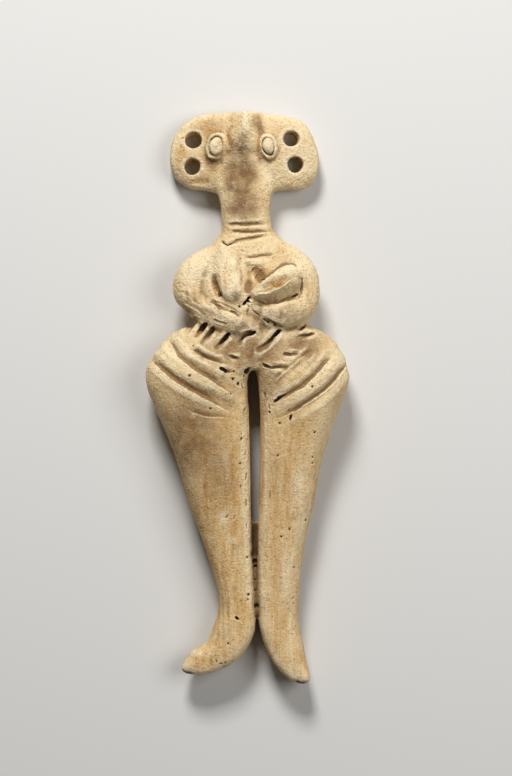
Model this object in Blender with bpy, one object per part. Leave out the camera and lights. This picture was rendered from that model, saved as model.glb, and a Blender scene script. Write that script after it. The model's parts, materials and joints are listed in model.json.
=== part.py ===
"""A hand-modelled fired clay figurine of a standing woman, lying on its back.

The figure is built as its maker built it. Lumps and coils of clay are laid out on a board, pressed
together and smoothed with the fingers. Then the soft clay is cut with a stick: hip grooves, waist jabs,
necklace lines and the rings round the pellet eyes. The ears are pierced last.

Frame: +X to the viewer's right, +Y up the figure towards the head, +Z out of its front. The board is the
plane z = 0, and the origin is the middle of the figure's outline on it.

The tables give millimetres on a figure of TABLE_HEIGHT, with heights counted from the lower toe tip, so the
pose, the proportions and the carving stay shares of HEIGHT. What has a size of its own is named in metres.
"""

import math

import bmesh
import bpy
import numpy as np
from mathutils import Matrix, Vector

# Driving dimensions, in metres
HEIGHT = 0.180
EAR_PLATE_THICKNESS = 0.0078
EAR_HOLE_RADIUS = 0.0026
EAR_HOLE_BACK_RADIUS = 0.0023
EYE_PELLET_RISE = 0.0026
NOSE_RISE = 0.0038
FLAT_DEPTH = 0.0005
HIP_GROOVE_DEPTH = 0.0009
JAB_DEPTH = 0.0026
NECKLACE_DEPTH = 0.0008
CREASE_DEPTH = 0.0016
EYE_RING_DEPTH = 0.0010

# The figure's height in the tables below, and one of their millimetres in metres
TABLE_HEIGHT = 180.0
MM = HEIGHT / TABLE_HEIGHT

# Working of the clay
CLAY_GRAIN = 0.45 * MM
SMOOTHING_PASSES = 12
FACET_BUDGET = 8800
ROWS_BETWEEN_LANDMARKS = 4
POINTS_ROUND = 44
HOLE_SIDES = 20

# Fired clay, as the eye sees it
CLAY_COLOUR = (0.52, 0.37, 0.20, 1.0)
CLAY_ROUGHNESS = 0.85

# Upright lofts. Each row is (height, left edge, right edge, back, front).
TORSO_ROWS = (
    (168.0, -4.5, 4.8, 3.4, 8.6),
    (163.0, -8.6, 8.4, 2.6, 9.6),
    (159.0, -10.4, 9.6, 2.0, 10.6),
    (156.0, -10.3, 8.8, 1.8, 11.4),
    (153.6, -9.2, 7.8, 1.8, 12.0),
    (150.8, -8.5, 7.5, 1.8, 12.6),
    (146.6, -8.1, 7.3, 1.8, 13.4),
    (142.0, -8.3, 8.6, 1.6, 14.4),
    (137.5, -12.2, 13.4, 1.0, 15.8),
    (132.0, -16.4, 16.2, 0.0, 17.2),
    (124.0, -17.6, 17.2, -0.4, 18.4),
    (118.0, -17.0, 17.0, 0.4, 18.8),
    (113.6, -17.2, 18.2, 0.8, 17.4),
    (110.2, -23.8, 24.6, 0.2, 17.8),
    (106.5, -27.4, 28.6, -0.5, 18.8),
    (103.0, -26.0, 27.6, -0.6, 19.6),
    (100.4, -20.0, 23.0, 0.4, 19.6),
    (98.4, -12.0, 16.0, 3.0, 18.6),
)
LEFT_LEG_ROWS = (
    (108.0, -24.4, 3.0, 1.6, 17.2),
    (104.0, -29.2, 3.6, 0.2, 19.6),
    (100.0, -31.4, 2.2, -0.4, 20.6),
    (96.5, -32.1, 0.2, -0.6, 20.8),
    (92.0, -31.1, -0.1, -0.6, 20.6),
    (84.0, -27.8, 0.6, -0.4, 19.8),
    (75.0, -23.9, 1.0, -0.2, 18.6),
    (66.0, -21.0, 1.3, 0.2, 17.4),
    (56.0, -18.2, 1.4, 0.8, 16.2),
    (46.0, -14.5, 1.5, 1.2, 15.0),
    (36.0, -11.2, 1.8, 1.4, 13.8),
    (29.0, -9.3, 2.2, 1.2, 13.2),
)
RIGHT_LEG_ROWS = (
    (108.0, 0.0, 25.2, 1.6, 17.0),
    (104.0, -0.6, 30.0, 0.2, 19.4),
    (100.0, 1.4, 31.4, -0.4, 20.4),
    (96.5, 3.1, 32.0, -0.6, 20.6),
    (92.0, 3.7, 31.0, -0.6, 20.4),
    (84.0, 4.1, 28.0, -0.4, 19.6),
    (75.0, 4.0, 24.9, -0.2, 18.4),
    (66.0, 3.8, 22.5, 0.2, 17.2),
    (56.0, 3.4, 20.8, 0.8, 16.0),
    (46.0, 3.1, 18.5, 1.2, 14.8),
    (36.0, 3.0, 17.0, 1.4, 13.6),
    (29.0, 3.1, 16.5, 1.2, 13.0),
)

# Feet: (outer edge x, height, inner edge x, height, back, front), from the ankle down to the toe tip
LEFT_FOOT_ROWS = (
    (-9.2, 23.0, 2.5, 22.8, 0.6, 12.6),
    (-11.0, 17.4, 2.3, 16.5, -0.2, 12.4),
    (-12.9, 13.0, 0.3, 11.8, -0.4, 12.2),
    (-15.2, 11.5, -2.5, 8.0, 0.0, 12.0),
    (-17.3, 10.4, -6.9, 5.2, 1.2, 11.6),
    (-18.9, 8.5, -11.9, 3.3, 2.8, 11.2),
    (-20.3, 6.4, -16.3, 2.9, 4.6, 10.6),
    (-20.9, 4.6, -19.6, 3.3, 6.4, 9.4),
)
RIGHT_FOOT_ROWS = (
    (16.2, 23.0, 3.3, 22.8, 0.6, 12.4),
    (16.6, 16.8, 4.1, 16.5, -0.2, 12.2),
    (17.6, 12.6, 5.7, 11.4, -0.4, 12.0),
    (18.3, 8.6, 7.9, 6.8, 0.0, 11.8),
    (19.0, 5.4, 10.4, 3.9, 1.2, 11.4),
    (19.5, 3.2, 13.2, 1.5, 2.8, 11.0),
    (19.9, 1.5, 16.0, 0.2, 4.6, 10.4),
    (19.4, 0.4, 18.0, -0.1, 6.4, 9.2),
)

# Head: (x, top edge, bottom edge), from the tip of the left ear to that of the right one
HEAD_ROWS = (
    (-24.5, 166.6, 164.2),
    (-23.9, 170.2, 161.6),
    (-22.6, 173.3, 159.0),
    (-20.6, 176.0, 157.2),
    (-17.6, 178.3, 155.8),
    (-13.2, 179.6, 155.5),
    (-8.9, 180.0, 154.0),
    (-3.5, 180.2, 152.4),
    (2.8, 180.2, 152.4),
    (8.3, 179.6, 154.9),
    (12.2, 178.9, 155.5),
    (16.9, 177.6, 155.4),
    (19.8, 174.4, 156.9),
    (21.6, 169.8, 159.2),
    (22.6, 165.9, 162.6),
)
HEAD_BACK = 1.6
EAR_SWEEP = 1.6

# Nose ridge: (height, left edge, right edge, share of NOSE_RISE above the face)
NOSE_ROWS = (
    (180.2, -4.2, 3.2, 0.30),
    (177.6, -5.2, 4.2, 0.55),
    (173.8, -5.6, 4.6, 0.78),
    (170.6, -5.2, 4.0, 0.88),
    (168.6, -4.6, 3.4, 0.86),
    (167.2, -4.0, 2.8, 0.62),
    (165.8, -3.4, 2.0, 0.28),
    (164.2, -2.8, 1.4, 0.02),
)

# Left breast, a soft upright lump: (height, left edge, right edge, back, front)
LEFT_BREAST_ROWS = (
    (138.4, -9.4, -2.0, 8.0, 14.8),
    (134.6, -10.6, -1.0, 8.0, 17.2),
    (130.0, -11.2, -0.2, 8.0, 19.0),
    (126.0, -11.0, 0.3, 8.0, 20.2),
    (123.2, -10.2, 0.5, 8.0, 20.8),
    (121.0, -8.9, 0.2, 8.0, 20.4),
    (119.4, -7.4, -0.8, 8.0, 18.8),
    (118.4, -6.2, -2.0, 8.0, 16.4),
)

# Right breast, pinched up along its upper edge: (lower x, height, upper x, height, back, front)
RIGHT_BREAST_ROWS = (
    (18.0, 124.4, 18.2, 129.0, 8.0, 16.0),
    (15.8, 122.0, 16.0, 131.0, 8.0, 18.6),
    (12.4, 120.6, 12.7, 131.5, 8.0, 20.4),
    (9.0, 119.8, 9.3, 129.9, 8.0, 21.2),
    (6.0, 119.1, 6.3, 127.9, 8.0, 21.6),
    (3.4, 119.0, 3.7, 126.0, 8.0, 21.4),
    (1.4, 119.8, 1.7, 124.4, 8.0, 20.2),
    (0.6, 120.8, 0.8, 123.0, 8.0, 18.0),
)

# Coils of clay: (x, height, z, radius) along the coil's middle
LEFT_ARM = (
    (-7.5, 136.4, 10.4, 3.2),
    (-12.0, 133.2, 10.6, 4.3),
    (-16.3, 129.2, 10.8, 5.5),
    (-18.0, 124.0, 11.2, 5.5),
    (-15.0, 119.5, 12.6, 4.7),
    (-11.4, 116.2, 14.6, 4.4),
    (-6.2, 114.4, 16.0, 4.2),
    (-1.2, 112.9, 16.4, 3.6),
    (3.4, 112.0, 16.0, 2.8),
)
RIGHT_ARM = (
    (8.0, 137.0, 10.4, 3.2),
    (12.8, 133.8, 10.6, 4.4),
    (16.6, 129.2, 10.8, 5.2),
    (17.8, 123.4, 11.2, 5.1),
    (16.4, 118.4, 12.8, 5.0),
    (12.6, 116.4, 14.8, 4.8),
    (8.2, 116.3, 16.2, 4.4),
    (4.6, 117.2, 16.4, 3.6),
)
ANKLE_JOIN = (
    (2.3, 51.0, 7.6, 1.6),
    (2.5, 40.0, 7.4, 2.4),
    (2.7, 30.0, 7.2, 2.6),
    (2.9, 24.6, 7.0, 2.2),
)

# Eye pellets: (x, height, half width, half height, lean in degrees)
EYES = (
    (-9.7, 169.2, 3.4, 4.4, -10.0),
    (6.6, 169.2, 3.0, 4.0, 14.0),
)
EYE_SUNK = 1.2
EYE_RING_SHARE = 0.70
EYE_RING_WIDTH = 0.56

# Ear holes: (x, height of the front rim, then how far the back rim lies to the right and up)
EAR_HOLES = (
    (-17.0, 171.3, -0.3, -1.3),
    (-17.3, 163.0, 0.0, -1.5),
    (13.9, 171.7, -1.2, -0.6),
    (15.2, 163.5, -1.0, -0.2),
)

# Cuts in the front: the points that each one runs through, as (x, height), its half width, and its share
# of the depth that its kind is cut to
HIP_GROOVES = (
    (((-26.0, 109.0), (-17.4, 100.2), (-4.6, 92.8)), 2.0, 1.0),
    (((-31.0, 103.2), (-20.6, 94.6), (-5.0, 87.4)), 2.0, 1.1),
    (((-18.5, 86.6), (-12.5, 84.0), (-6.0, 83.2)), 1.6, 0.3),
    (((20.4, 105.4), (14.0, 99.0), (7.4, 93.4)), 1.5, 0.8),
    (((26.4, 103.8), (19.4, 95.6), (8.6, 88.6)), 1.6, 1.0),
    (((31.4, 100.4), (23.2, 90.8), (10.0, 83.4)), 2.0, 1.0),
)
WAIST_JABS = (
    (((-16.3, 114.7), (-19.4, 110.6)), 1.1, 1.0),
    (((-12.9, 113.0), (-16.2, 109.3)), 1.15, 1.0),
    (((-10.6, 111.4), (-14.2, 107.4)), 1.2, 0.7),
    (((-5.8, 109.8), (-9.6, 106.0)), 1.15, 1.1),
    (((2.2, 110.4), (-0.8, 109.6), (-2.8, 107.2)), 1.0, 0.9),
    (((9.8, 110.9), (5.8, 106.6), (3.8, 105.2)), 1.2, 1.1),
    (((18.0, 112.5), (16.0, 111.0)), 0.8, 0.5),
    (((20.8, 110.1), (18.1, 109.7), (15.1, 109.1)), 0.9, 0.4),
    (((15.8, 103.9), (11.0, 103.7)), 1.0, 0.4),
    (((12.6, 99.4), (5.4, 100.4)), 1.0, 0.45),
    (((-17.2, 104.8), (-13.0, 102.6), (-9.2, 101.1)), 1.5, 0.55),
    (((-4.8, 102.8), (-2.2, 102.0)), 0.8, 0.4),
    (((-8.2, 99.0), (-5.0, 98.2)), 0.9, 0.55),
)
NECKLACE_LINES = (
    (((-6.6, 144.3), (6.8, 145.0)), 0.75, 1.0),
    (((-5.8, 142.2), (8.2, 142.4)), 0.75, 1.0),
    (((-8.2, 139.3), (-6.2, 138.1), (-3.5, 139.1), (7.5, 141.2)), 0.75, 0.9),
    (((-0.2, 133.5), (3.8, 134.0), (9.5, 135.0)), 1.0, 0.8),
)
CREASES = (
    (((-11.1, 128.0), (-9.8, 123.5), (-7.2, 120.0)), 1.1, 0.45),
    (((-11.1, 119.5), (-6.4, 117.8), (-2.4, 115.9)), 0.9, 0.5),
    (((16.6, 129.0), (16.9, 122.4), (13.2, 121.0)), 1.0, 0.25),
    (((14.4, 121.4), (5.8, 119.2), (2.0, 119.2)), 1.0, 0.35),
    (((0.8, 121.8), (-1.2, 118.6)), 1.0, 1.2),
    (((5.4, 114.4), (9.2, 112.6), (11.6, 112.2)), 0.8, 0.8),
)
FINGER_PRESSES = (
    (((2.4, 130.2), (4.6, 128.6)), 2.4, 0.5),
    (((-0.9, 165.0), (-1.2, 160.0)), 3.0, 0.2),
)

# Cleft down the back, from the top of the buttocks to the ankles
BACK_CLEFT = ((1.6, 101.0), (2.2, 60.0), (2.8, 24.0))
BACK_CLEFT_HALF_WIDTH = 1.6
BACK_CLEFT_DEPTH = 0.0014


def clear_scene():
    """Removes whatever the scene holds."""
    for thing in list(bpy.data.objects):
        bpy.data.objects.remove(thing, do_unlink=True)


def smooth_rows(rows, steps=ROWS_BETWEEN_LANDMARKS):
    """The rows with more rows between them, on a Catmull-Rom curve through every landmark."""
    rows = np.array(rows, float)
    ends = np.vstack([2 * rows[0] - rows[1], rows, 2 * rows[-1] - rows[-2]])
    found = []
    for before, start, end, after in zip(ends, ends[1:], ends[2:], ends[3:]):
        for step in range(steps):
            t = step / steps
            found.append(
                0.5
                * (
                    2 * start
                    + (end - before) * t
                    + (2 * before - 5 * start + 4 * end - after) * t**2
                    + (3 * start - before - 3 * end + after) * t**3
                )
            )
    found.append(rows[-1])
    return np.array(found)


def oval(across, depth, centre, squareness):
    """Points of a superellipse round centre. across and depth are its half axes, as vectors.

    squareness is one exponent for the side away from across and one for the side towards it.
    """
    points = []
    for i in range(POINTS_ROUND):
        angle = math.tau * i / POINTS_ROUND
        c, s = math.cos(angle), math.sin(angle)
        power = 2 / squareness[c > 0]
        u = math.copysign(abs(c) ** power, c)
        v = math.copysign(abs(s) ** power, s)
        points.append(centre + across * u + depth * v)
    return points


def skin_rings(name, rings):
    """A closed lump of clay through rings of points, bridged in order and capped at both ends."""
    mesh = bmesh.new()
    loops = [[mesh.verts.new(point * MM) for point in ring] for ring in rings]
    for low, high in zip(loops, loops[1:]):
        for i in range(POINTS_ROUND):
            j = (i + 1) % POINTS_ROUND
            mesh.faces.new((low[i], low[j], high[j], high[i]))
    mesh.faces.new(loops[0])
    mesh.faces.new(loops[-1])
    bmesh.ops.recalc_face_normals(mesh, faces=mesh.faces)
    data = bpy.data.meshes.new(name)
    mesh.to_mesh(data)
    mesh.free()
    lump = bpy.data.objects.new(name, data)
    bpy.context.scene.collection.objects.link(lump)
    return lump


def edge_to_edge_lump(name, rows, squareness):
    """A lump between two edges. Rows hold (x, height, x, height, back, front)."""
    rings = []
    for ax, ay, bx, by, back, front in smooth_rows(rows):
        middle = (back + front) / 2
        one, other = Vector((ax, ay, middle)), Vector((bx, by, middle))
        depth = Vector((0, 0, (front - back) / 2))
        rings.append(oval((other - one) / 2, depth, (one + other) / 2, squareness))
    return skin_rings(name, rings)


def upright_lump(name, rows, squareness):
    """A lump with level rows of (height, left, right, back, front)."""
    spread = [(left, y, right, y, back, front) for y, left, right, back, front in rows]
    return edge_to_edge_lump(name, spread, squareness)


def coil(name, rows):
    """A rolled coil of clay through rows of (x, height, z, radius)."""
    rows = smooth_rows(rows)
    middles = [Vector(row[:3]) for row in rows]
    rings = []
    for i, middle in enumerate(middles):
        along = middles[min(i + 1, len(rows) - 1)] - middles[max(i - 1, 0)]
        turn = along.to_track_quat("Z", "Y")
        radius = rows[i][3]
        across, depth = turn @ Vector((radius, 0, 0)), turn @ Vector((0, radius, 0))
        rings.append(oval(across, depth, middle, (2, 2)))
    return skin_rings(name, rings)


def ball(name, centre, half_axes, lean=0.0):
    """A rolled pellet: a ball pressed to half_axes and leaning in the plane of the face."""
    mesh = bmesh.new()
    bmesh.ops.create_uvsphere(mesh, u_segments=32, v_segments=20, radius=1.0)
    shape = (
        Matrix.Translation(Vector(centre) * MM)
        @ Matrix.Rotation(math.radians(lean), 4, "Z")
        @ Matrix.Diagonal((*[side * MM for side in half_axes], 1.0))
    )
    bmesh.ops.transform(mesh, matrix=shape, verts=mesh.verts)
    data = bpy.data.meshes.new(name)
    mesh.to_mesh(data)
    mesh.free()
    pellet = bpy.data.objects.new(name, data)
    bpy.context.scene.collection.objects.link(pellet)
    return pellet


def face_height():
    """How far the front of the ear plate stands above the board, in table millimetres."""
    return HEAD_BACK + EAR_PLATE_THICKNESS / MM


def ear_sweep(x):
    """How far an ear leans back at x: nothing at the face, EAR_SWEEP at the tips."""
    half_width = HEAD_ROWS[-1][0]
    return EAR_SWEEP * min(1.0, abs(x) / half_width) ** 2


def head_plate():
    """The flat head, drawn out sideways into two round ears."""
    rows = []
    last = len(HEAD_ROWS) - 1
    for i, (x, top, bottom) in enumerate(HEAD_ROWS):
        thinning = 0.30 if i in (0, last) else 0.12 if i in (1, last - 1) else 0.0
        half = EAR_PLATE_THICKNESS / MM / 2
        middle = HEAD_BACK + half - ear_sweep(x)
        half *= 1 - thinning
        rows.append((x, top, x, bottom, middle - half, middle + half))
    return edge_to_edge_lump("head", rows, squareness=(2.8, 2.8))


def nose_ridge():
    """The nose, pinched up out of the face from the crown down to its tip."""
    rise = NOSE_RISE / MM
    rows = []
    for y, left, right, share in NOSE_ROWS:
        rows.append((y, left, right, HEAD_BACK + 2, face_height() + share * rise))
    return upright_lump("nose", rows, squareness=(1.35, 1.35))


def eye_pellets():
    """A pressed pellet for each eye, standing out of the face."""
    rise = EYE_PELLET_RISE / MM
    pellets = []
    for i, (x, y, wide, tall, lean) in enumerate(EYES):
        middle = (x, y, face_height() - ear_sweep(x) - EYE_SUNK)
        pellets.append(ball(f"eye_{i}", middle, (wide, tall, rise + EYE_SUNK), lean))
    return pellets


def lay_out_clay():
    """Every lump of the figure, before the lumps are pressed together."""
    left_leg = [(left, y, right, y, back, front) for y, left, right, back, front in LEFT_LEG_ROWS]
    right_leg = [(right, y, left, y, back, front) for y, left, right, back, front in RIGHT_LEG_ROWS]
    return [
        upright_lump("torso", TORSO_ROWS, squareness=(2.5, 2.5)),
        edge_to_edge_lump("left_leg", [*left_leg, *LEFT_FOOT_ROWS], squareness=(2.4, 4.2)),
        edge_to_edge_lump("right_leg", [*right_leg, *RIGHT_FOOT_ROWS], squareness=(2.4, 4.2)),
        coil("ankle_join", ANKLE_JOIN),
        coil("left_arm", LEFT_ARM),
        coil("right_arm", RIGHT_ARM),
        upright_lump("left_breast", LEFT_BREAST_ROWS, squareness=(2.0, 2.0)),
        edge_to_edge_lump("right_breast", RIGHT_BREAST_ROWS, squareness=(1.5, 4.5)),
        head_plate(),
        nose_ridge(),
        *eye_pellets(),
    ]


def apply_modifiers(thing):
    """Makes the object's evaluated mesh its own, and clears its modifiers."""
    graph = bpy.context.evaluated_depsgraph_get()
    shaped = bpy.data.meshes.new_from_object(thing.evaluated_get(graph))
    thing.modifiers.clear()
    thing.data = shaped


def press_together(lumps):
    """One body of clay from the lumps, with its seams smeared over."""
    whole = bmesh.new()
    for lump in lumps:
        whole.from_mesh(lump.data)
        bpy.data.objects.remove(lump, do_unlink=True)
    data = bpy.data.meshes.new("figurine")
    whole.to_mesh(data)
    whole.free()
    figurine = bpy.data.objects.new("figurine", data)
    bpy.context.scene.collection.objects.link(figurine)
    joined = figurine.modifiers.new("pressed together", "REMESH")
    joined.mode = "VOXEL"
    joined.voxel_size = CLAY_GRAIN
    smeared = figurine.modifiers.new("smeared seams", "SMOOTH")
    smeared.factor = 0.5
    smeared.iterations = SMOOTHING_PASSES
    apply_modifiers(figurine)
    return figurine


def read_surface(thing):
    """(points in table millimetres, outward normals) of the object's vertices."""
    count = len(thing.data.vertices)
    points = np.empty(count * 3)
    thing.data.vertices.foreach_get("co", points)
    normals = np.empty(count * 3)
    thing.data.vertex_normals.foreach_get("vector", normals)
    return points.reshape(-1, 3) / MM, normals.reshape(-1, 3)


def write_surface(thing, points):
    """Puts points, in table millimetres, back on the object's vertices."""
    thing.data.vertices.foreach_set("co", (points * MM).ravel())
    thing.data.update()


def ramp(values, low, high):
    """0 below low, 1 above high, and a smooth rise between."""
    t = np.clip((values - low) / (high - low), 0, 1)
    return t * t * (3 - 2 * t)


def near_line(flat, line):
    """(distance of each flat point from a line through points, how far along it from 0 to 1)."""
    line = np.array(line, float)
    lengths = np.linalg.norm(np.diff(line, axis=0), axis=1)
    reached = np.concatenate([[0], np.cumsum(lengths)]) / lengths.sum()
    nearest = np.full(len(flat), np.inf)
    along = np.zeros(len(flat))
    for start, end, before, after in zip(line, line[1:], reached, reached[1:]):
        step = end - start
        t = np.clip((flat - start) @ step / (step @ step), 0, 1)
        away = np.linalg.norm(flat - start - t[:, None] * step, axis=1)
        closer = away < nearest
        nearest[closer] = away[closer]
        along[closer] = (before + (after - before) * t)[closer]
    return nearest, along


def cut(points, normals, line, half_width, depth, fade, lip=0.3, facing=1.0):
    """Presses a rounded cut into the clay along a line, and pushes up a low lip beside it.

    fade gives the share of the depth at each place along the line. facing is 1 for the front, -1 for the
    back. Clay that faces away from the stick is left alone.
    """
    away, along = near_line(points[:, :2], line)
    inside = np.clip(away / half_width, 0, 1)
    bed = 0.5 * (1 + np.cos(math.pi * inside))
    beside = np.clip(1 - np.abs(away / half_width - 1.35) / 0.45, 0, 1)
    reach = ramp(normals[:, 2] * facing, -0.35, 0.15)
    move = reach * fade(along) * depth * (bed - lip * beside)
    return points - normals * move[:, None]


def even(along):
    """A stroke with soft ends."""
    return ramp(along, -0.06, 0.14) * (1 - 0.75 * ramp(along, 0.65, 1.0))


def jabbed(along):
    """A stroke that starts deep, where the stick went in, and runs out shallow."""
    return ramp(along, -0.05, 0.12) * (1 - 0.75 * ramp(along, 0.25, 1.0))


def carve(figurine):
    """Cuts the hip grooves, the waist jabs, the necklace, the creases, the back cleft and the eye rings."""
    points, normals = read_surface(figurine)
    cuts = (
        (HIP_GROOVES, HIP_GROOVE_DEPTH, even),
        (WAIST_JABS, JAB_DEPTH, jabbed),
        (NECKLACE_LINES, NECKLACE_DEPTH, even),
        (CREASES, CREASE_DEPTH, even),
        (FINGER_PRESSES, CREASE_DEPTH, np.ones_like),
    )
    for table, full_depth, fade in cuts:
        for line, half_width, share in table:
            line = smooth_rows(line)
            points = cut(points, normals, line, half_width, share * full_depth / MM, fade)
    cleft = BACK_CLEFT_DEPTH / MM
    points = cut(points, normals, BACK_CLEFT, BACK_CLEFT_HALF_WIDTH, cleft, even, lip=0.0, facing=-1.0)
    for x, y, wide, tall, lean in EYES:
        turn = math.radians(lean)
        ring = []
        for i in range(HOLE_SIDES + 1):
            angle = math.tau * i / HOLE_SIDES
            u = EYE_RING_SHARE * wide * math.cos(angle)
            v = EYE_RING_SHARE * tall * math.sin(angle)
            across = u * math.cos(turn) - v * math.sin(turn)
            up = u * math.sin(turn) + v * math.cos(turn)
            ring.append((x + across, y + up))
        points = cut(points, normals, ring, EYE_RING_WIDTH, EYE_RING_DEPTH / MM, np.ones_like)
    write_surface(figurine, points)


def settle_facets(figurine):
    """Thins the mesh to the facet budget, keeping small facets where the form turns sharply."""
    figurine.data.calc_loop_triangles()
    thinned = figurine.modifiers.new("fewer facets", "DECIMATE")
    thinned.ratio = min(1.0, FACET_BUDGET / len(figurine.data.loop_triangles))
    apply_modifiers(figurine)


def cutter(name, mesh):
    """A hidden object made of mesh, for a Boolean to cut with."""
    data = bpy.data.meshes.new(name)
    mesh.to_mesh(data)
    mesh.free()
    tool = bpy.data.objects.new(name, data)
    tool.hide_render = True
    tool.display_type = "WIRE"
    bpy.context.scene.collection.objects.link(tool)
    return tool


def take_away(figurine, tool):
    """Cuts the tool's shape out of the figurine."""
    taken = figurine.modifiers.new(tool.name, "BOOLEAN")
    taken.operation = "DIFFERENCE"
    taken.object = tool
    apply_modifiers(figurine)


def pierce_ears(figurine):
    """Pushes a tapered stick through each ear twice, a little askew."""
    for i, (x, y, right, up) in enumerate(EAR_HOLES):
        lean_back = ear_sweep(x)
        front = Vector((x, y, face_height() - lean_back)) * MM
        back = Vector((x + right, y + up, HEAD_BACK - lean_back)) * MM
        axis = front - back
        stick = bmesh.new()
        bmesh.ops.create_cone(
            stick,
            cap_ends=True,
            segments=HOLE_SIDES,
            radius1=2 * EAR_HOLE_BACK_RADIUS - EAR_HOLE_RADIUS,
            radius2=2 * EAR_HOLE_RADIUS - EAR_HOLE_BACK_RADIUS,
            depth=3 * axis.length,
        )
        place = Matrix.Translation((front + back) / 2) @ axis.to_track_quat("Z", "Y").to_matrix().to_4x4()
        bmesh.ops.transform(stick, matrix=place, verts=stick.verts)
        take_away(figurine, cutter(f"ear_stick_{i}", stick))


def flatten_back(figurine):
    """Presses flat what lies on the board: shoulders, buttocks, calves and heels."""
    lowest = min(vertex.co.z for vertex in figurine.data.vertices)
    slab = bmesh.new()
    bmesh.ops.create_cube(slab, size=2 * HEIGHT)
    drop = Matrix.Translation((0, HEIGHT / 2, lowest + FLAT_DEPTH - HEIGHT))
    bmesh.ops.transform(slab, matrix=drop, verts=slab.verts)
    take_away(figurine, cutter("drying_board", slab))


def centre_on_board(figurine):
    """Moves the mesh so that the origin is the middle of its outline, on the board."""
    corners = np.array([vertex.co for vertex in figurine.data.vertices])
    low, high = corners.min(axis=0), corners.max(axis=0)
    middle = (low + high) / 2
    figurine.data.transform(Matrix.Translation((-middle[0], -middle[1], -low[2])))


def fired_clay():
    """Pale tan fired clay, matt all over."""
    material = bpy.data.materials.new("fired clay")
    material.use_nodes = True
    shader = material.node_tree.nodes["Principled BSDF"]
    shader.inputs["Base Color"].default_value = CLAY_COLOUR
    shader.inputs["Roughness"].default_value = CLAY_ROUGHNESS
    shader.inputs["Metallic"].default_value = 0.0
    return material


def main():
    """Builds the figurine."""
    clear_scene()
    figurine = press_together(lay_out_clay())
    carve(figurine)
    settle_facets(figurine)
    pierce_ears(figurine)
    flatten_back(figurine)
    centre_on_board(figurine)
    figurine.data.materials.clear()
    figurine.data.materials.append(fired_clay())
    figurine.data.shade_smooth()


main()
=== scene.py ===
"""The finish of a hand-modelled clay figurine that lies on its back.

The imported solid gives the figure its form. One piece takes its place here: the same clay with the marks of
the maker's fingers and stick, low-fired, sandy and stained by the ground that it lay in.

Places on the figure are (x, height) in millimetres on a figure that is FIGURE_HEIGHT tall, with heights
counted from the lower toe tip and x from the middle of the neck. Heights run along the frame's +Y.
"""

import json
import math
from collections import namedtuple

import bpy
import numpy as np
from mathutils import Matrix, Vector, noise

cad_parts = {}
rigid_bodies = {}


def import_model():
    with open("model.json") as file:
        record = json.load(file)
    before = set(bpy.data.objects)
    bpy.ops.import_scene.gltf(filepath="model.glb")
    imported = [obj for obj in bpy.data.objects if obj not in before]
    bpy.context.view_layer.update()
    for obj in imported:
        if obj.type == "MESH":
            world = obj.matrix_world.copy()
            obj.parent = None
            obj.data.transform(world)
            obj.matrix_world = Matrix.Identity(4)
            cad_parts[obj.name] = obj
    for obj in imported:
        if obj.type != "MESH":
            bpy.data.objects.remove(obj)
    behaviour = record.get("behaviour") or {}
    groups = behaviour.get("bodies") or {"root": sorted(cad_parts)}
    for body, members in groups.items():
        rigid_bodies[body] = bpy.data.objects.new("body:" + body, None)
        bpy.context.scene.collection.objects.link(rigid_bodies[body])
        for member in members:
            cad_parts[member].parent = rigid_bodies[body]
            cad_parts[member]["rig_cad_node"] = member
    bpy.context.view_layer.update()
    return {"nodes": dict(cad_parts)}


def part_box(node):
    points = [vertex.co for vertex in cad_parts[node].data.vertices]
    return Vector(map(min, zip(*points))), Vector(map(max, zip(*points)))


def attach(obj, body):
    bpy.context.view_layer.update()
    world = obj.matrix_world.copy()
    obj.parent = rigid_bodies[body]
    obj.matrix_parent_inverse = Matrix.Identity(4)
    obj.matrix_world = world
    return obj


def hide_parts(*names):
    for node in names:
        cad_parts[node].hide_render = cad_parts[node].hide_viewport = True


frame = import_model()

bl_info = {
    "name": "Clay Figurine Finish",
    "version": (1, 0, 0),
    "blender": (4, 5, 0),
    "location": "View3D > Sidebar > Figurine",
    "description": "Hand-worked, low-fired clay with stick-cut marks for a figurine that lies on its back",
    "category": "Object",
}

NODE = "figurine"
PIECE = "clay_body"
SEED = 7

# One figure millimetre in metres, and where (0, 0) of the figure lies: this far, in figure millimetres, from
# the middle and the foot of the solid's box
LOW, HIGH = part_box(NODE)
FIGURE_HEIGHT = 180.2
MM = (HIGH.y - LOW.y) / FIGURE_HEIGHT
ZERO_FROM_MIDDLE = -0.08
ZERO_FROM_FOOT = 0.03
FIGURE_ZERO = np.array([(LOW.x + HIGH.x) / 2 + ZERO_FROM_MIDDLE * MM, LOW.y + ZERO_FROM_FOOT * MM, 0.0])

# The photograph's frame in pixels, and where the figure's outline lies in it
PHOTO_WIDTH = 512
PHOTO_HEIGHT = 776
OUTLINE_MIDDLE_X = 247.6
CROWN_Y = 111
TOE_Y = 684.5
# The camera's sensor in millimetres, and how far it sees in metres
SENSOR_HEIGHT = 24.0
SIGHT = 10.0

# The studio in metres: the floor lies a hair below the figure, so that the two never share a plane
FLOOR_WIDTH = 4.0
FLOOR_DROP = 0.00002
KEY_WIDTH = 0.24
KEY_PLACE = (-0.13, 0.68, 0.58)
FILL_WIDTH = 0.50
FILL_PLACE = (0.50, 0.10, 0.70)

# A mark's last number is how dark its bed is painted: earth in it, and painted shade where it lies deep
Mark = namedtuple("Mark", "line half_width depth dirt")
Patch = namedtuple("Patch", "x height wide tall strength")
Eye = namedtuple("Eye", "x height wide tall lean worn_at deep_at")

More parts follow.
